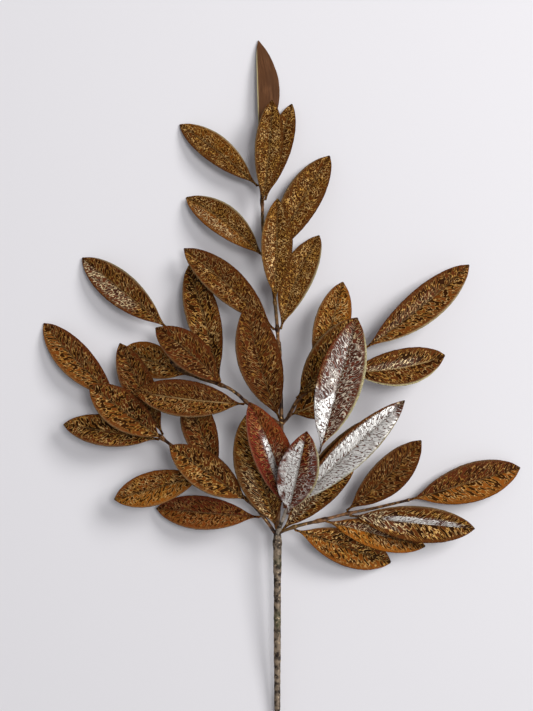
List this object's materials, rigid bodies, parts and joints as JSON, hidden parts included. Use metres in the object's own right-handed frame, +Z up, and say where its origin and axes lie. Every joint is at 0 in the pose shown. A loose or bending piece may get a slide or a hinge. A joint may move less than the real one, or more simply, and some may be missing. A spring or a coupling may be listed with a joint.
{
  "type": "artificial magnolia leaf spray",
  "caption": "Decorative spray of metallic bronze magnolia leaves on thin twigs that branch from one wrapped wire stem, lying flat as picked up for an arrangement",
  "frame": {"origin": "middle of the underside of the box round the whole spray as it lies on a surface", "axes": "+Y runs along the stem from its cut end towards the top leaf, +X is across the spray to the right when seen from above with the top leaf away from the viewer, +Z is up off the surface"},
  "size_m": [0.3576, 0.5612, 0.0757],
  "materials": {
    "stem_wrap": "matt olive-brown wrap with flecks of dull gold",
    "twig": "satin dark brown plastic coating over wire",
    "leaf": "stiffened fabric with a crackled metallic gold and copper coating on a dark russet ground"
  },
  "bodies": {
    "root": {"main_stem": "stem_wrap", "leader_twig": "twig", "leader_leaf_1": "leaf", "leader_leaf_2": "leaf", "leader_leaf_3": "leaf", "leader_leaf_4": "leaf", "leader_leaf_5": "leaf", "leader_leaf_6": "leaf", "leader_leaf_7": "leaf", "leader_leaf_8": "leaf", "leader_leaf_9": "leaf", "leader_leaf_10": "leaf", "lower_left_twig": "twig", "lower_left_leaf_1": "leaf", "lower_left_leaf_2": "leaf", "lower_left_leaf_3": "leaf", "lower_left_leaf_4": "leaf", "lower_left_leaf_5": "leaf", "lower_left_leaf_6": "leaf", "lower_left_leaf_7": "leaf", "lower_left_leaf_8": "leaf", "upper_left_twig": "twig", "upper_left_leaf_1": "leaf", "upper_left_leaf_2": "leaf", "upper_left_leaf_3": "leaf", "upper_left_leaf_4": "leaf", "upper_left_leaf_5": "leaf", "lower_right_twig": "twig", "lower_right_leaf_1": "leaf", "lower_right_leaf_2": "leaf", "lower_right_leaf_3": "leaf", "lower_right_leaf_4": "leaf", "lower_right_leaf_5": "leaf", "upper_right_twig": "twig", "upper_right_leaf_1": "leaf", "upper_right_leaf_2": "leaf", "upper_right_leaf_3": "leaf", "upper_right_leaf_4": "leaf", "upper_right_leaf_5": "leaf", "centre_twig": "twig", "centre_leaf_1": "leaf", "centre_leaf_2": "leaf", "centre_leaf_3": "leaf", "centre_leaf_4": "leaf", "centre_leaf_5": "leaf", "centre_leaf_6": "leaf", "centre_leaf_7": "leaf"}
  },
  "joints": []
}
